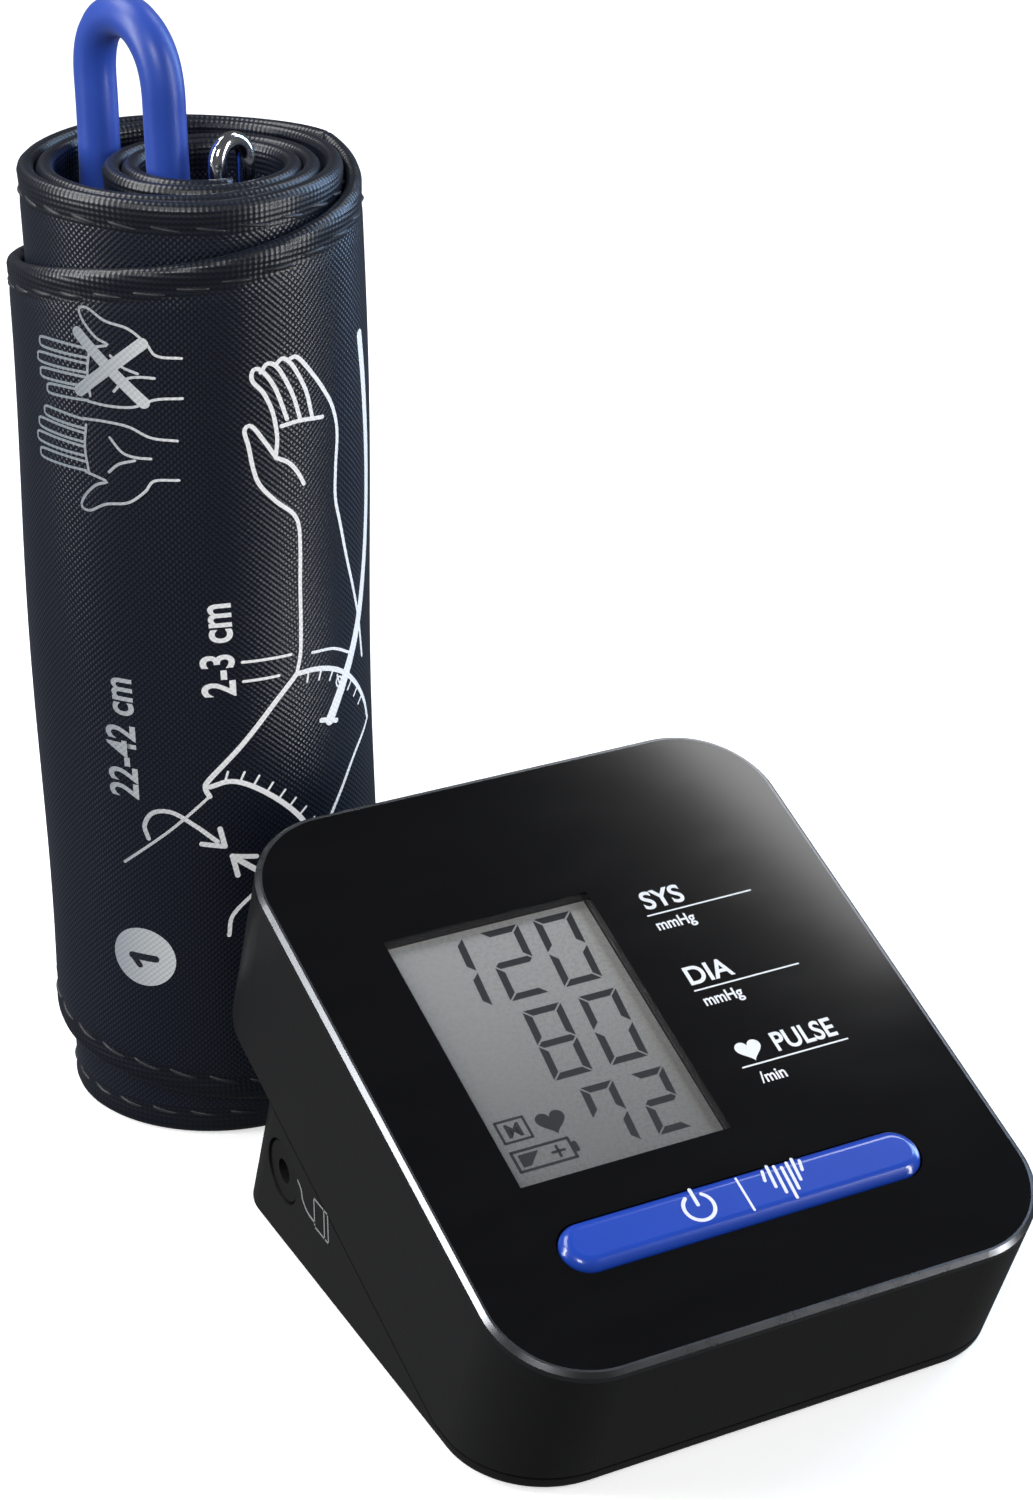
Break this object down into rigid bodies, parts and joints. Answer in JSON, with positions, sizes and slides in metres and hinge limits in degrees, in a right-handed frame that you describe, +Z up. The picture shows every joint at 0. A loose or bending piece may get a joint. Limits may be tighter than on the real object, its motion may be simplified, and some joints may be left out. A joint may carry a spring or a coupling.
{
  "type": "upper-arm blood pressure cuff with monitor",
  "caption": "Upper-arm blood pressure cuff rolled round its blue air hose, with a metal ring, beside a wedge-shaped desktop monitor with display and rocker button.",
  "frame": {"origin": "middle of the footprint of monitor and rolled cuff, on the surface that both stand on", "axes": "+X the monitor's right, +Y the monitor's back, +Z up"},
  "size_m": [0.1106, 0.1826, 0.1999],
  "materials": {
    "case_plastic": "satin charcoal",
    "glossy_plate": "mirror gloss black",
    "rim": "satin light grey",
    "clear_window": "clear",
    "display": "smooth grey",
    "pale_plastic": "matte",
    "blue_button": "glossy blue",
    "board": "solder mask green",
    "chip": "moulded black",
    "cell_wrap": "printed wrap",
    "contact_metal": "nickel plated",
    "steel": "zinc plated",
    "copper_core": "varnished winding",
    "black_rubber": "matte",
    "soft_tube": "translucent",
    "navy_fabric": "fine woven",
    "inner_fabric": "brushed",
    "bladder_film": "smooth",
    "hook_tape": "hooked tape",
    "chrome_wire": "polished",
    "hose_rubber": "matte blue",
    "plug_plastic": "matte grey"
  },
  "bodies": {
    "monitor": {"upper_case": "case_plastic", "lower_case": "case_plastic", "case_screws": "steel", "rubber_feet": "black_rubber", "faceplate": "glossy_plate", "trim_rim": "rim", "display_lens": "clear_window", "display_panel": "display", "display_carrier": "pale_plastic", "tact_switches": "chip", "circuit_board": "board", "board_chips": "chip", "pressure_sensor": "pale_plastic", "battery_cells": "cell_wrap", "battery_contacts": "contact_metal", "battery_springs": "contact_metal", "air_socket": "plug_plastic", "socket_gasket": "black_rubber", "pump_motor_can": "steel", "pump_head": "pale_plastic", "pump_magnets": "chip", "pump_diaphragm": "black_rubber", "air_manifold": "pale_plastic", "valve_body": "chip", "tube_to_socket": "soft_tube", "tube_to_pump": "soft_tube", "tube_to_valve": "soft_tube", "tube_to_sensor": "soft_tube"},
    "button": {"start_button": "blue_button"},
    "door": {"battery_door": "case_plastic"},
    "rotor": {"pump_rotor": "copper_core"},
    "plunger": {"valve_plunger": "steel"},
    "ring": {"metal_ring": "chrome_wire"},
    "flap": {"tail_flap": "navy_fabric", "hook_patch": "hook_tape"},
    "cuff": {"cuff_outer_fabric": "navy_fabric", "cuff_inner_fabric": "inner_fabric", "bladder": "bladder_film", "hose_port": "plug_plastic", "tail_wrap": "navy_fabric", "ring_sleeve": "navy_fabric", "hose": "hose_rubber", "plug_barrel": "plug_plastic", "plug_nozzle": "plug_plastic"}
  },
  "joints": [
    {"name": "button_rock", "type": "hinge", "parent": "monitor", "child": "button", "pos_m": [0.00696, -0.0693, 0.03146], "axis": [0, 0.9317, 0.3633], "range_deg": [-1.3, 1.3], "stiffness_Nm_per_rad": 1.5},
    {"name": "door_open", "type": "hinge", "parent": "monitor", "child": "door", "pos_m": [0.01026, -0.05665, 0.0018], "axis": [1, 0, 0], "range_deg": [-75, 0]},
    {"name": "pump_spin", "type": "hinge", "parent": "monitor", "child": "rotor", "pos_m": [-0.00274, -0.01105, 0.0326], "axis": [1, 0, 0], "continuous": true},
    {"name": "valve_slide", "type": "slide", "parent": "monitor", "child": "plunger", "axis": [0, 1, 0], "range_m": [0, 0.0006], "stiffness_N_per_m": 400},
    {"name": "cuff_lift", "type": "slide", "parent": "monitor", "child": "cuff", "axis": [0, 0, 1], "range_m": [0, 0.15]},
    {"name": "ring_swing", "type": "hinge", "parent": "cuff", "child": "ring", "pos_m": [-0.02409, 0.04881, 0.08575], "axis": [0, 0, 1], "range_deg": [-45, 12]},
    {"name": "flap_fold", "type": "hinge", "parent": "cuff", "child": "flap", "pos_m": [-0.04572, 0.0822, 0.08575], "axis": [0, 0, 1], "range_deg": [0, 70]}
  ]
}
